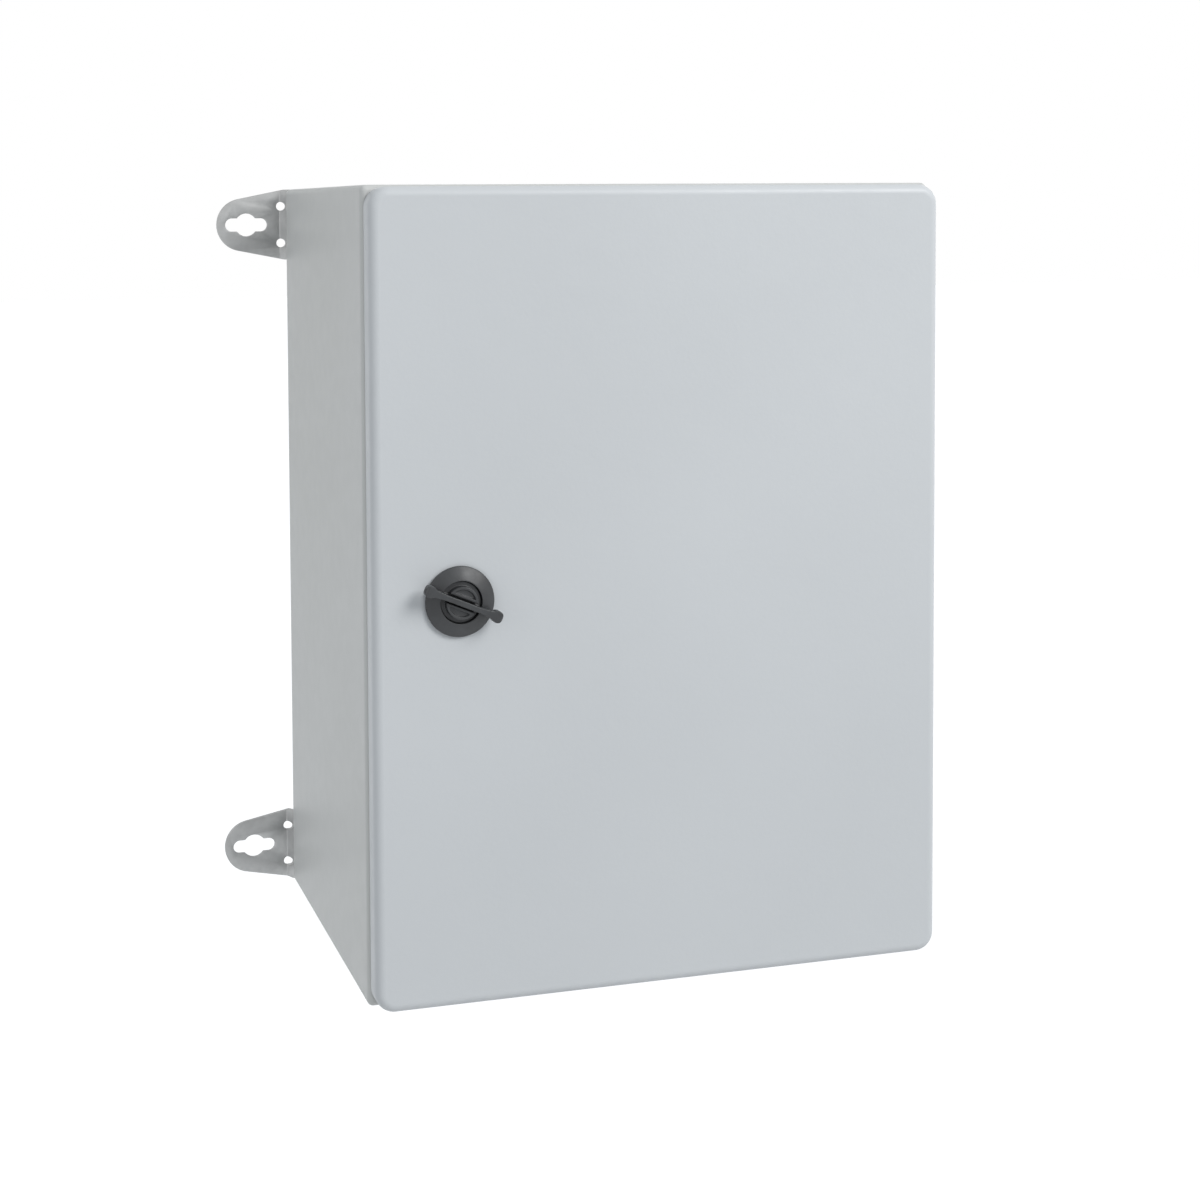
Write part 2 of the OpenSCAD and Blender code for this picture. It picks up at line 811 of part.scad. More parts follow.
module tongue_screw() {
    seat = tongue_back - tongue_washer_t;
    color(zinc) at_lock() {
        translate([0, 0, seat - tongue_head_h])
            cylinder(d = 1.65 * tongue_screw_d / cos(30), h = tongue_head_h, $fn = 6);
        translate([0, 0, seat]) cylinder(d = tongue_screw_d, h = tongue_washer_t + tongue_thread);
    }
}

// ---- Earth studs ----

module earth_stud() {
    cylinder(d = earth_foot_d, h = earth_foot_t);
    cylinder(d = earth_d, h = earth_len);
}

module earth_nut() {
    translate([0, 0, earth_len - earth_nut_t - 1]) hex_nut(earth_nut_af, earth_nut_t, earth_d);
}

module in_body_side() {
    front(gland_q) translate([width / 2 - sheet_t, earth_z, 0]) rotate([0, -90, 0]) children();
}

module in_door() {
    front(door_inside) translate([earth_door_x, earth_z, 0]) mirror([0, 0, 1]) children();
}

module body_earth_stud() { color(zinc) in_body_side() earth_stud(); }

module body_earth_nut() { color(zinc) in_body_side() earth_nut(); }

module door_earth_stud() { color(zinc) in_door() earth_stud(); }

module door_earth_nut() { color(zinc) in_door() earth_nut(); }

body_shell();
rear_panel();
front_frame();
door_panel();
door_gasket();
wall_lug_top_left();
wall_lug_top_right();
wall_lug_bottom_left();
wall_lug_bottom_right();
lug_bolts();
lug_sealing_washers();
lug_nuts();
hinge_block_top();
hinge_block_bottom();
hinge_leaf_top();
hinge_leaf_bottom();
hinge_pin_top();
hinge_pin_bottom();
hinge_block_screws();
hinge_block_nuts();
hinge_leaf_studs();
hinge_leaf_nuts();
mounting_plate();
plate_studs();
plate_washers();
plate_nuts();
gland_plate();
gland_seal();
gland_studs();
gland_nuts();
lock_housing();
lock_seal();
lock_ring_nut();
lock_o_ring();
wing_knob();
lock_tongue();
tongue_washer();
tongue_screw();
body_earth_stud();
body_earth_nut();
door_earth_stud();
door_earth_nut();
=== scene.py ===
import json
import math

import bmesh
import bpy
from mathutils import Matrix, Vector
from mathutils.noise import noise


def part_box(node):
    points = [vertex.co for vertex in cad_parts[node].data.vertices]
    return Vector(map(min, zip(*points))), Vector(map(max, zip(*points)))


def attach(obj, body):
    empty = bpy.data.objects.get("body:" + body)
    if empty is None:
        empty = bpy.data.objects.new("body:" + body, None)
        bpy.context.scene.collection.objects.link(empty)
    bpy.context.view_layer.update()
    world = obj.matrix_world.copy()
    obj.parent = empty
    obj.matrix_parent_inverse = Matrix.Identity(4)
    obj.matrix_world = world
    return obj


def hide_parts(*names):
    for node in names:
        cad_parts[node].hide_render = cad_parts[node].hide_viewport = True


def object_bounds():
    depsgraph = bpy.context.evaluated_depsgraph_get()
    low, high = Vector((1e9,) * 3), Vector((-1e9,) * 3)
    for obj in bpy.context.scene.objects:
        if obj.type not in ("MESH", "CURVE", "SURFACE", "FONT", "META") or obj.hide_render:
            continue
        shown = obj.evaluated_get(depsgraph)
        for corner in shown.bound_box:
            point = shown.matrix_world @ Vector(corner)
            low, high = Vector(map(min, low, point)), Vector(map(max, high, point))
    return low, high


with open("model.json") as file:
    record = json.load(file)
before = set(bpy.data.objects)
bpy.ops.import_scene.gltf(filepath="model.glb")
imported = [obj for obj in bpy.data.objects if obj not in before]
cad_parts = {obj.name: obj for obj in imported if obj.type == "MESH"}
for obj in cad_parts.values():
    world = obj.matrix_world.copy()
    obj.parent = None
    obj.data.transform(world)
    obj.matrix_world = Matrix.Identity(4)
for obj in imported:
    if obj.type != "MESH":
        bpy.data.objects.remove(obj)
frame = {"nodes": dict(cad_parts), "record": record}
cad_low, cad_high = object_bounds()
MM = 0.001

# ---------------------------------------------------------------- camera
# The viewer stands to the left of the box, near the height of its top, about 0.9 m from its front.
LENS = 60.02
SHIFT = (0.11, -0.2367)
YAW, PITCH, ROLL = (math.radians(a) for a in (15.669, -3.027, -0.415))
shell_low, shell_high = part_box("body_shell")
REAR_LEFT_FOOT = Vector((shell_low.x, shell_high.y, shell_low.z))
EYE = REAR_LEFT_FOOT + Vector((-208.8, -1128.9, 387.5)) * MM


def make_camera():
    """Looks from EYE along yaw (right of +Y), pitch (up) and roll; the lens shift keeps the box upright."""
    flat = math.cos(PITCH)
    ahead = Vector((math.sin(YAW) * flat, math.cos(YAW) * flat, math.sin(PITCH)))
    level = Vector((math.cos(YAW), -math.sin(YAW), 0))
    upright = level.cross(ahead)
    right = level * math.cos(ROLL) + upright * math.sin(ROLL)
    up = upright * math.cos(ROLL) - level * math.sin(ROLL)
    data = bpy.data.cameras.new("camera")
    data.sensor_width = 36
    data.lens = LENS
    data.shift_x, data.shift_y = SHIFT
    camera = bpy.data.objects.new("camera", data)
    turn = Matrix((right, up, -ahead)).transposed().to_4x4()
    camera.matrix_world = Matrix.Translation(EYE) @ turn
    bpy.context.scene.collection.objects.link(camera)
    bpy.context.scene.camera = camera


make_camera()
bpy.context.scene.view_settings.view_transform = "Standard"


# ---------------------------------------------------------------- materials
def srgb(*values):
    """Linear RGBA from 0-255 sRGB values."""
    def linear(v):
        c = v / 255
        return c / 12.92 if c <= 0.04045 else ((c + 0.055) / 1.055) ** 2.4
    return (*(linear(v) for v in values), 1)


class Finish:
    """A Principled material under construction, with helpers for noise, ramps and bump."""

    def __init__(self, name, **sockets):
        self.material = bpy.data.materials.new(name)
        self.material.use_nodes = True
        self.nodes = self.material.node_tree.nodes
        self.links = self.material.node_tree.links
        self.shader = self.nodes["Principled BSDF"]
        self.place = self.nodes.new("ShaderNodeTexCoord").outputs["Object"]
        for key, value in sockets.items():
            self.shader.inputs[key.replace("_", " ")].default_value = value

    def add(self, kind, **values):
        node = self.nodes.new(kind)
        for key, value in values.items():
            if hasattr(node, key):
                setattr(node, key, value)
            else:
                node.inputs[key.replace("_", " ")].default_value = value
        return node

    def noise(self, size, detail=2.0, stretch=(1, 1, 1)):
        """Noise whose main features are about size metres across."""
        scale = self.add("ShaderNodeMapping")
        scale.inputs["Scale"].default_value = stretch
        self.links.new(self.place, scale.inputs["Vector"])
        node = self.add("ShaderNodeTexNoise", Scale=0.5 / size, Detail=detail)
        self.links.new(scale.outputs["Vector"], node.inputs["Vector"])
        return node.outputs["Fac"]

    def patches(self, size):
        """A random colour on each cell about size metres across."""
        node = self.add("ShaderNodeTexVoronoi", Scale=1 / size)
        self.links.new(self.place, node.inputs["Vector"])
        return node.outputs["Color"]

    def ramp(self, source, low, high, start=0.35, end=0.65):
        node = self.add("ShaderNodeMapRange")
        self.links.new(source, node.inputs["Value"])
        node.inputs["From Min"].default_value = start
        node.inputs["From Max"].default_value = end
        node.inputs["To Min"].default_value = low
        node.inputs["To Max"].default_value = high
        return node.outputs["Result"]

    def blend(self, factor, first, second):
        node = self.add("ShaderNodeMix", data_type="RGBA")
        self.links.new(factor, node.inputs[0])
        for socket, colour in ((6, first), (7, second)):
            if isinstance(colour, tuple):
                node.inputs[socket].default_value = colour
            else:
                self.links.new(colour, node.inputs[socket])
        return node.outputs[2]

    def colour(self, source):
        self.links.new(source, self.shader.inputs["Base Color"])

    def rough(self, source):
        self.links.new(source, self.shader.inputs["Roughness"])

    def bump(self, height, depth, under=None):
        """Bump depth metres deep; under is an earlier bump to build on."""
        node = self.add("ShaderNodeBump", Strength=1.0, Distance=depth)
        self.links.new(height, node.inputs["Height"])
        if under is not None:
            self.links.new(under, node.inputs["Normal"])
        self.links.new(node.outputs["Normal"], self.shader.inputs["Normal"])
        return node.outputs["Normal"]


def powder_coat(name, pale, deep, roughness):
    """Baked powder paint: fine pebbled skin, slight long waves and a faint drift of tone."""
    f = Finish(name, Specular_IOR_Level=0.45)
    drift = f.ramp(f.noise(0.12), 0, 1)
    f.colour(f.blend(drift, deep, pale))
    f.rough(f.ramp(f.noise(0.004), roughness - 0.03, roughness + 0.04))
    pebble = f.bump(f.noise(0.0011, detail=1.0), 0.00004)
    f.bump(f.noise(0.008, detail=0.0), 0.00012, under=pebble)
    return f.material


def plated(name, pale, deep, roughness, grain=0.0006, metallic=1.0):
    """Zinc-plated steel: cloudy tone with a fine brushed grain."""
    f = Finish(name, Metallic=metallic)
    f.colour(f.blend(f.ramp(f.noise(0.006, detail=4.0), 0, 1), deep, pale))
    f.rough(f.ramp(f.noise(0.002, detail=3.0), roughness - 0.06, roughness + 0.08))
    f.bump(f.noise(grain, stretch=(1, 1, 0.15)), 0.00001)
    return f.material


def galvanised():
    """Hot-dip sheet: crystal patches of slightly different grey."""
    f = Finish("galvanised_sheet", Metallic=1.0)
    grey = f.add("ShaderNodeRGBToBW")
    f.links.new(f.patches(0.009), grey.inputs[0])
    f.colour(f.blend(f.ramp(grey.outputs[0], 0, 1, 0, 1), srgb(168, 172, 175), srgb(192, 196, 199)))
    f.rough(f.ramp(grey.outputs[0], 0.32, 0.52, 0, 1))
    f.bump(f.noise(0.0012, detail=3.0), 0.00001)
    return f.material


def dark_cast(name):
    """Dark coated die casting with a fine sandy skin, rubbed a little smoother in patches."""
    f = Finish(name, Specular_IOR_Level=0.5)
    f.colour(f.blend(f.ramp(f.noise(0.004, detail=3.0), 0, 1), srgb(50, 51, 53), srgb(60, 62, 64)))
    f.rough(f.ramp(f.noise(0.003), 0.36, 0.48))
    f.bump(f.noise(0.0004, detail=2.0), 0.00002)
    return f.material


def soft_black(name, tone, roughness, pore, depth):
    """Rubber or foam: matt, with pores or moulding grain of the given size."""
    f = Finish(name, Specular_IOR_Level=0.3)
    f.colour(f.blend(f.ramp(f.noise(0.003, detail=3.0), 0, 1), srgb(*(t - 5 for t in tone)), srgb(*tone)))
    f.rough(f.ramp(f.noise(0.002), roughness - 0.05, roughness + 0.08))
    f.bump(f.noise(pore, detail=3.0), depth)
    return f.material


MATERIALS = {
    "door_coat": powder_coat("powder_coat_door", srgb(216, 219, 221), srgb(212, 215, 217), 0.42),
    "body_coat": powder_coat("powder_coat_body", srgb(214, 215, 213), srgb(210, 211, 208), 0.45),
    "lug_steel": plated("dull_zinc", srgb(176, 177, 177), srgb(164, 165, 165), 0.48, metallic=0.85),
    "zinc_fasteners": plated("bright_zinc", srgb(204, 206, 209), srgb(184, 187, 190), 0.3),
    "hinge_zinc": plated("satin_zinc", srgb(186, 188, 190), srgb(170, 172, 175), 0.4),
    "galvanised_plate": galvanised(),
    "dark_die_cast": dark_cast("dark_die_cast"),
    "foam_seal": soft_black("foam_skin", (74, 74, 78), 0.75, 0.0009, 0.00008),
    "black_rubber": soft_black("rubber_black", (40, 40, 42), 0.6, 0.0006, 0.00003),
}


# ---------------------------------------------------------------- CAD nodes take their materials
def paint(obj, slot_name):
    obj.data.materials.clear()
    obj.data.materials.append(MATERIALS[slot_name])
    for face in obj.data.polygons:
        face.material_index = 0


for part in frame["record"]["subparts"]:
    paint(frame["nodes"][part["node"]], part["material_slot"])


# ---------------------------------------------------------------- shapes
AXES = (Vector((1, 0, 0)), Vector((0, 1, 0)), Vector((0, 0, 1)))
BACK, FRONT, UP, LEFT = Vector((0, 1, 0)), Vector((0, -1, 0)), Vector((0, 0, 1)), Vector((-1, 0, 0))


class Place:
    """A local frame: x and y across, z along the given direction, all in millimetres."""

    def __init__(self, origin, direction):
        self.origin = Vector(origin)
        self.z = Vector(direction)
        self.x, self.y = (a for a in AXES if abs(a.dot(self.z)) < 0.5)

    def __call__(self, x, y, z):
        return self.origin + (self.x * x + self.y * y + self.z * z) * MM

    def ring(self, radius, z, steps=48):
        """A ring of points; radius is a number or a function of the angle, and so is z."""
        points = []
        for k in range(steps):
            angle = 2 * math.pi * k / steps
            r = radius(angle) if callable(radius) else radius
            height = z(angle) if callable(z) else z
            points.append(self(r * math.cos(angle), r * math.sin(angle), height))
        return points


class Skin:
    """Collects rings of points into one mesh."""

    def __init__(self):
        self.verts, self.faces = [], []

    def add(self, rings, loop=False):
        start, n = len(self.verts), len(rings[0])
        for ring in rings:
            self.verts.extend(ring)
        for j in range(len(rings) if loop else len(rings) - 1):
            a, b = start + j * n, start + (j + 1) % len(rings) * n
            for k in range(n):
                m = (k + 1) % n
                self.faces.append((a + k, a + m, b + m, b + k))
        if not loop:
            self.faces.append(tuple(range(start, start + n)))
            self.faces.append(tuple(range(start + (len(rings) - 1) * n, start + len(rings) * n)))

    def turned(self, place, profile, steps=48, loop=False):
        self.add([place.ring(r, z, steps) for r, z in profile], loop)

    def piece(self, name, body, slot_name, stands_for, sharp=38):
        mesh = bpy.data.meshes.new(name)
        mesh.from_pydata([tuple(v) for v in self.verts], [], self.faces)
        bm = bmesh.new()
        bm.from_mesh(mesh)
        bmesh.ops.recalc_face_normals(bm, faces=bm.faces)
        bm.to_mesh(mesh)
        bm.free()
        return add_piece(name, mesh, body, slot_name, stands_for, sharp)


def add_piece(name, mesh, body, slot_name, stands_for, sharp=38):
    mesh.materials.clear()
    mesh.materials.append(MATERIALS[slot_name])
    mesh.shade_smooth()
    mesh.set_sharp_from_angle(angle=math.radians(sharp))
    piece = bpy.data.objects.new(name, mesh)
    bpy.context.scene.collection.objects.link(piece)
    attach(piece, body)
    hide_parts(*stands_for)
    return piece


def solids(node):
    """The lowest and highest corner of each separate solid in a CAD node."""
    bm = bmesh.new()
    bm.from_mesh(frame["nodes"][node].data)
    bmesh.ops.remove_doubles(bm, verts=bm.verts, dist=1e-7)
    left, found = set(bm.verts), []
    while left:
        front = [left.pop()]
        group = list(front)
        while front:
            for edge in front.pop().link_edges:
                for vert in edge.verts:
                    if vert in left:
                        left.remove(vert)
                        front.append(vert)
                        group.append(vert)
        found.append(tuple(Vector(f(v.co[i] for v in group) for i in range(3)) for f in (min, max)))
    bm.free()
    return sorted(found, key=lambda box: tuple(round(c, 5) for c in box[0]))


def span(box, direction):
    """Length in millimetres along a direction, and the middle of the face that looks against it."""
    low, high = box
    middle = (low + high) / 2
    length = abs((high - low).dot(direction))
    return length / MM, middle - direction * length / 2


# ---------------------------------------------------------------- fasteners
def hexagon(af, phase):
    """Radius of a hexagon with a corner at the phase angle."""
    def radius(angle):
        return af / 2 / math.cos((angle - phase) % (math.pi / 3) - math.pi / 6)
    return radius


def hex_block(skin, place, af, height, bore, phase, foot=0.0):
    """A nut, or with no bore a bolt head: hexagon with turned chamfers."""
    outline = hexagon(af, phase)
    flat = af / 2 * 0.94
    slope = math.tan(math.radians(30))
    top = place.ring(outline, lambda a: height - (outline(a) - flat) * slope)
    low = place.ring(outline, lambda a: foot + (outline(a) - flat) * slope)
    outside = [place.ring(flat, foot), low, top, place.ring(flat, height)]
    if bore:
        lead = bore / 2 + 0.06 * bore
        inside = [place.ring(lead, height), place.ring(bore / 2, height - 0.06 * bore),
                  place.ring(bore / 2, foot + 0.06 * bore), place.ring(lead, foot)]
        skin.add(outside + inside, loop=True)
    else:
        skin.add(outside + [place.ring(flat * 0.55, height - 0.12)])


def thread(skin, place, diameter, pitch, start, end, steps=20):
    """A rod with a real helical thread and a chamfered end."""
    rings = []
    rows = round((end - start) / pitch * 4)
    for j in range(rows + 1):
        z = start + (end - start) * j / rows

        def radius(angle):
            phase = (z / pitch - angle / (2 * math.pi)) % 1
            cut = 0.58 * pitch * (1 - abs(2 * phase - 1))
            return min(diameter / 2 - cut, diameter / 2 - 0.7 * pitch + (end - z))
        rings.append(place.ring(radius, z, steps))
    skin.add(rings)


# Coarse thread pitches by diameter.
PITCH = {4: 0.7, 5: 0.8, 6: 1.0, 8: 1.25}


def nuts(node, name, body, direction, bore):
    """Hexagon nuts, each turned as the CAD solid that it stands for."""
    skin = Skin()
    for box in solids(node):
        height, origin = span(box, direction)
        place = Place(origin, direction)
        size = box[1] - box[0]
        across, other = abs(size.dot(place.x)), abs(size.dot(place.y))
        phase = 0.0 if across > other else math.pi / 6
        hex_block(skin, place, min(across, other) / MM, height, bore + 0.1, phase)
    skin.piece(name, body, "zinc_fasteners", (node,))


def washers(node, name, body, direction, bore, slot_name="zinc_fasteners", lip=0.25):
    """Flat rings with rounded edges."""
    skin = Skin()
    for box in solids(node):
        height, origin = span(box, direction)
        place = Place(origin, direction)
        outer = (box[1] - box[0]).dot(place.x) / MM / 2
        inner = bore / 2
        skin.turned(place, [
            (inner + lip / 2, 0), (outer - lip, 0), (outer - lip * 0.3, lip * 0.3), (outer, lip),
            (outer, height - lip), (outer - lip * 0.3, height - lip * 0.3), (outer - lip, height),
            (inner + lip / 2, height), (inner, height - lip / 2), (inner, lip / 2),
        ], loop=True)
    skin.piece(name, body, slot_name, (node,))


def welded_studs(node, name, body, direction, diameter, collar_h=0.0, foot_h=0.0):
    """Threaded studs, each on a collar or on a flat welding foot."""
    skin = Skin()
    for box in solids(node):
        length, origin = span(box, direction)
        place = Place(origin, direction)
        base = (box[1] - box[0]).dot(place.x) / MM / 2
        root = diameter / 2 - 0.3
        neck = collar_h or foot_h
        if neck:
            skin.turned(place, [
                (base, 0), (base, neck - 0.5), (base - 0.15, neck - 0.15), (base - 0.5, neck), (root, neck)])
        else:
            skin.turned(place, [(diameter / 2, 0), (diameter / 2, 0.5), (root, 0.9)])
            neck = 0.8
        thread(skin, place, diameter, PITCH[diameter], neck - 0.1, length)
    skin.piece(name, body, "zinc_fasteners", (node,))


BOLT_HEAD = 5.28
TONGUE_SCREW_HEAD = 4
BUTTON_HEAD = 2.2


def lug_bolts():
    """Hexagon bolts from behind, with a plain neck and a thread."""
    skin = Skin()
    for box in solids("lug_bolts"):
        length, tip = span(box, BACK)
        place = Place(tip + BACK * length * MM, FRONT)
        across = (box[1] - box[0]).x / MM
        seat = Place(place(0, 0, BOLT_HEAD), BACK)
        hex_block(skin, seat, across * math.cos(math.pi / 6), BOLT_HEAD, 0, 0.0)
        skin.turned(place, [(3.9, BOLT_HEAD - 0.05), (3.9, BOLT_HEAD + 3.5), (3.3, BOLT_HEAD + 3.9)])
        thread(skin, place, 8, PITCH[8], BOLT_HEAD + 3.8, length)
    skin.piece("bolts_of_wall_lugs", "enclosure", "zinc_fasteners", ("lug_bolts",))


def hinge_screws():
    """Domed screws with a hexagon socket that hold the hinge blocks on the gutter."""
    skin = Skin()
    for box in solids("hinge_block_screws"):
        length, tip = span(box, FRONT)
        place = Place(tip, FRONT)
        seat = length - BUTTON_HEAD
        socket = hexagon(2.5, 0.0)
        skin.add([
            place.ring(1.7, seat - 0.1), place.ring(3.5, seat), place.ring(3.5, seat + 0.5),
            place.ring(3.3, seat + 1.1), place.ring(2.8, seat + 1.7), place.ring(2.1, seat + 2.1),
            place.ring(1.7, seat + BUTTON_HEAD), place.ring(socket, seat + BUTTON_HEAD),
            place.ring(socket, seat + 0.8), place.ring(0.4, seat + 0.6)])
        thread(skin, place, 4, PITCH[4], 0, seat, 16)
    skin.piece("screws_of_hinge_blocks", "enclosure", "zinc_fasteners", ("hinge_block_screws",))


def tongue_screw():
    """The hexagon screw that clamps the tongue on the end of the shaft."""
    skin = Skin()
    box = solids("tongue_screw")[0]
    length, tip = span(box, BACK)
    place = Place(tip, BACK)
    across = (box[1] - box[0]).x / MM
    seat = Place(place(0, 0, length - TONGUE_SCREW_HEAD), BACK)
    hex_block(skin, seat, across * math.cos(math.pi / 6), TONGUE_SCREW_HEAD, 0, 0.0)
    skin.turned(place, [(2.4, 0), (2.9, 0.6), (2.9, length - (TONGUE_SCREW_HEAD - 0.05))])
    skin.piece("screw_of_lock_tongue", "lock_rotor", "zinc_fasteners", ("tongue_screw",))


# ---------------------------------------------------------------- dressed copies of CAD nodes
def merged(node):
    """A copy of a CAD node's mesh with its flat and curved faces joined up again."""
    bm = bmesh.new()
    bm.from_mesh(frame["nodes"][node].data)
    bmesh.ops.remove_doubles(bm, verts=bm.verts, dist=1e-6)
    bmesh.ops.dissolve_limit(bm, angle_limit=math.radians(0.5), verts=bm.verts, edges=bm.edges)
    return bm


SHARP_EDGE = math.radians(32)


def deburred(node, name, body, slot_name, edge, steps=2):
    """The CAD shape with its sharp edges rounded by a small radius in millimetres."""
    bm = merged(node)
    sharp = [e for e in bm.edges if e.is_manifold and e.calc_face_angle() > SHARP_EDGE]
    bmesh.ops.bevel(bm, geom=sharp, offset=edge * MM, offset_type="OFFSET", segments=steps, profile=0.5,
                    affect="EDGES", clamp_overlap=True)
    mesh = bpy.data.meshes.new(name)
    bm.to_mesh(mesh)
    bm.free()
    return add_piece(name, mesh, body, slot_name, (node,), 40)


def cast(node, name, body, slot_name, voxel, rounds, keep):
    """The CAD shape as a casting: every edge and inner corner gets a soft fillet."""
    source = bpy.data.objects.new(name + "_form", frame["nodes"][node].data.copy())
    bpy.context.scene.collection.objects.link(source)
    remesh = source.modifiers.new("skin", "REMESH")
    remesh.mode = "VOXEL"
    remesh.voxel_size = voxel * MM
    smooth = source.modifiers.new("fillet", "SMOOTH")
    smooth.factor = 0.5
    smooth.iterations = rounds
    fewer = source.modifiers.new("fewer", "DECIMATE")
    fewer.ratio = keep
    shaped = source.evaluated_get(bpy.context.evaluated_depsgraph_get())
    mesh = bpy.data.meshes.new_from_object(shaped)
    mesh.name = name
    bpy.data.objects.remove(source)
    return add_piece(name, mesh, body, slot_name, (node,), 70)


# ---------------------------------------------------------------- foamed seal
SEAL_WIDTH = 10.0
SEAL_CORNER = 14.25
CORNER_STEPS = 12
SIDE_STEPS = 44


def foam_seal():
    """A bead of foam on the door: crowned, a little uneven, with the imprint of the lip along its middle."""
    low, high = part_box("door_gasket")
    height = (high.y - low.y) / MM
    # Profile of the bead: distance from its inner edge, and share of its height.
    across = [(0, 0), (0.1, 0.42), (0.8, 0.69), (2.0, 0.87), (3.2, 0.96), (4.1, 0.955), (4.6, 0.9),
              (5.4, 0.9), (5.9, 0.955), (6.8, 0.96), (8.0, 0.87), (9.2, 0.69), (9.9, 0.42), (10, 0)]
    half_x, half_z = (high.x - low.x) / 2 / MM, (high.z - low.z) / 2 / MM
    middle = (low + high) / 2
    stations = []
    for i, (sx, sz) in enumerate(((1, 1), (-1, 1), (-1, -1), (1, -1))):
        axis = (sx * (half_x - SEAL_CORNER), sz * (half_z - SEAL_CORNER))
        for k in range(CORNER_STEPS + 1):
            angle = math.pi / 2 * (i + k / CORNER_STEPS)
            stations.append((axis, angle))
        following = ((-1, 1), (-1, -1), (1, -1), (1, 1))[i]
        far = (following[0] * (half_x - SEAL_CORNER), following[1] * (half_z - SEAL_CORNER))
        for k in range(1, SIDE_STEPS):
            t = k / SIDE_STEPS
            stations.append((tuple(a + (b - a) * t for a, b in zip(axis, far)), math.pi / 2 * (i + 1)))
    rings = []
    for axis, angle in stations:
        ring = []
        for u, v in across:
            r = SEAL_CORNER - SEAL_WIDTH + u
            x, z = axis[0] + r * math.cos(angle), axis[1] + r * math.sin(angle)
            uneven = noise(Vector((x, z, u)) * 0.11)
            swell = 1 + (0.03 * uneven if v else 0)
            side = 0.12 * noise(Vector((z, x, 9.0)) * 0.08)
            x += side * math.cos(angle)
            z += side * math.sin(angle)
            out = v * min(swell, 1.04) * height
            ring.append(Vector((middle.x + x * MM, low.y + out * MM, middle.z + z * MM)))
        rings.append(ring)
    skin = Skin()
    skin.add(rings, loop=True)
    skin.piece("foamed_door_seal", "door", "foam_seal", ("door_gasket",), 60)


# ---------------------------------------------------------------- the dressed pieces
nuts("lug_nuts", "nuts_of_wall_lugs", "enclosure", FRONT, 8)
nuts("plate_nuts", "nuts_of_mounting_plate", "enclosure", FRONT, 8)
nuts("gland_nuts", "nuts_of_gland_plate", "enclosure", UP, 5)
nuts("hinge_block_nuts", "nuts_of_hinge_blocks", "enclosure", BACK, 4)
nuts("hinge_leaf_nuts", "nuts_of_hinge_leaves", "door", BACK, 4)
nuts("body_earth_nut", "nut_of_body_earth", "enclosure", LEFT, 6)
nuts("door_earth_nut", "nut_of_door_earth", "door", BACK, 6)
nuts("lock_ring_nut", "ring_nut_of_lock", "door", BACK, 22)
washers("plate_washers", "washers_of_mounting_plate", "enclosure", FRONT, 8.4)
washers("tongue_washer", "washer_of_lock_tongue", "lock_rotor", BACK, 6.4)
washers("lug_sealing_washers", "sealing_washers_of_lugs", "enclosure", FRONT, 8.3, "black_rubber", 0.6)
welded_studs("plate_studs", "studs_of_mounting_plate", "enclosure", FRONT, 8, collar_h=15)
welded_studs("gland_studs", "studs_of_gland_plate", "enclosure", UP, 5)
welded_studs("hinge_leaf_studs", "studs_of_hinge_leaves", "door", BACK, 4)
welded_studs("body_earth_stud", "stud_of_body_earth", "enclosure", LEFT, 6, foot_h=2)
welded_studs("door_earth_stud", "stud_of_door_earth", "door", BACK, 6, foot_h=2)
lug_bolts()
hinge_screws()
tongue_screw()
for corner in ("top_left", "top_right", "bottom_left", "bottom_right"):
    deburred("wall_lug_" + corner, "pressed_wall_lug_" + corner, "enclosure", "lug_steel", 0.45, steps=3)
for end in ("top", "bottom"):
    deburred("hinge_block_" + end, "milled_hinge_block_" + end, "enclosure", "hinge_zinc", 0.35)
    deburred("hinge_leaf_" + end, "rolled_hinge_leaf_" + end, "door", "hinge_zinc", 0.3)
    deburred("hinge_pin_" + end, "turned_hinge_pin_" + end, "enclosure", "zinc_fasteners", 0.35)
deburred("mounting_plate", "sheared_mounting_plate", "enclosure", "galvanised_plate", 0.3)
deburred("lock_tongue", "stamped_lock_tongue", "lock_rotor", "galvanised_plate", 0.4)
foam_seal()
cast("wing_knob", "cast_wing_knob", "lock_rotor", "dark_die_cast", 0.22, 5, 0.45)
cast("lock_housing", "cast_lock_housing", "door", "dark_die_cast", 0.28, 4, 0.45)


# ---------------------------------------------------------------- stage and light
def seen_directly(nodes, links):
    """1 for camera, glossy and transmission rays, and 0 for the rays that only carry light."""
    path = nodes.new("ShaderNodeLightPath")
    result = path.outputs["Is Camera Ray"]
    for ray in ("Is Glossy Ray", "Is Transmission Ray"):
        either = nodes.new("ShaderNodeMath")
        either.operation = "MAXIMUM"
        links.new(result, either.inputs[0])
        links.new(path.outputs[ray], either.inputs[1])
        result = either.outputs[0]
    return result


FLOOR_DROP = 1.4
FLOOR_GLOW = 0.72


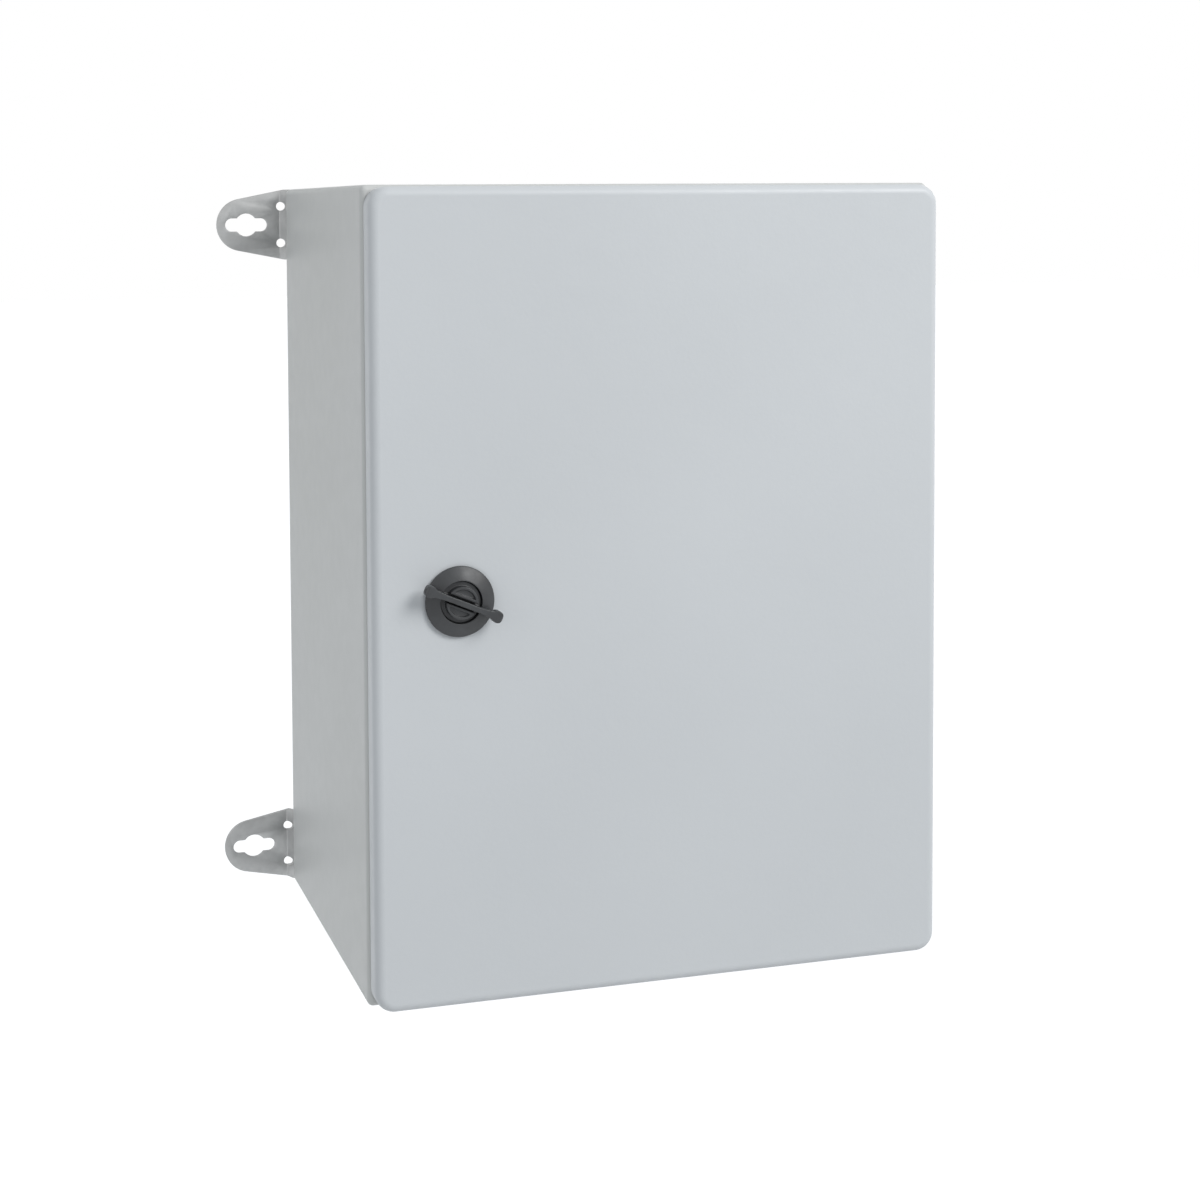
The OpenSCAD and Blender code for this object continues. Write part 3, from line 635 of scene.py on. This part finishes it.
def make_floor():
    """A pale floor well below the wall box. It shows as white to the camera and still takes the shadow."""
    bpy.ops.mesh.primitive_plane_add(size=80, location=(0, 0, cad_low.z - FLOOR_DROP))
    floor = bpy.context.object
    floor.name = "floor"
    material = bpy.data.materials.new("floor_white")
    material.use_nodes = True
    nodes, links = material.node_tree.nodes, material.node_tree.links
    shader = nodes["Principled BSDF"]
    shader.inputs["Base Color"].default_value = (0.8, 0.8, 0.8, 1)
    shader.inputs["Roughness"].default_value = 0.9
    shader.inputs["Specular IOR Level"].default_value = 0.1
    shader.inputs["Emission Color"].default_value = (1, 1, 1, 1)
    glow = nodes.new("ShaderNodeMath")
    glow.operation = "MULTIPLY"
    glow.inputs[1].default_value = FLOOR_GLOW
    links.new(seen_directly(nodes, links), glow.inputs[0])
    links.new(glow.outputs[0], shader.inputs["Emission Strength"])
    floor.data.materials.append(material)


def make_world():
    """White to the camera, to reflections and to refractions; a soft grey sky for everything else."""
    world = bpy.data.worlds.new("world")
    bpy.context.scene.world = world
    world.use_nodes = True
    nodes, links = world.node_tree.nodes, world.node_tree.links
    nodes.clear()
    sky = nodes.new("ShaderNodeBackground")
    sky.inputs["Color"].default_value = (0.9, 0.95, 1, 1)
    sky.inputs["Strength"].default_value = 0.45
    white = nodes.new("ShaderNodeBackground")
    white.inputs["Color"].default_value = (1, 1, 1, 1)
    white.inputs["Strength"].default_value = 1.0
    mix = nodes.new("ShaderNodeMixShader")
    links.new(seen_directly(nodes, links), mix.inputs[0])
    links.new(sky.outputs[0], mix.inputs[1])
    links.new(white.outputs[0], mix.inputs[2])
    out = nodes.new("ShaderNodeOutputWorld")
    links.new(mix.outputs[0], out.inputs["Surface"])


AIM = Vector((0, -0.1, 0))


def soft_light(name, place, size, watts):
    """A round lamp that looks at the middle of the box."""
    data = bpy.data.lights.new(name, "AREA")
    data.shape = "DISK"
    data.size = size
    data.energy = watts
    lamp = bpy.data.objects.new(name, data)
    lamp.location = place
    lamp.rotation_mode = "QUATERNION"
    lamp.rotation_quaternion = (AIM - Vector(place)).to_track_quat("-Z", "Y")
    bpy.context.scene.collection.objects.link(lamp)


make_floor()
make_world()
soft_light("key", (1.4, -1.9, 1.5), 1.4, 42)
soft_light("fill", (-2.2, -1.0, 0.6), 1.6, 6)
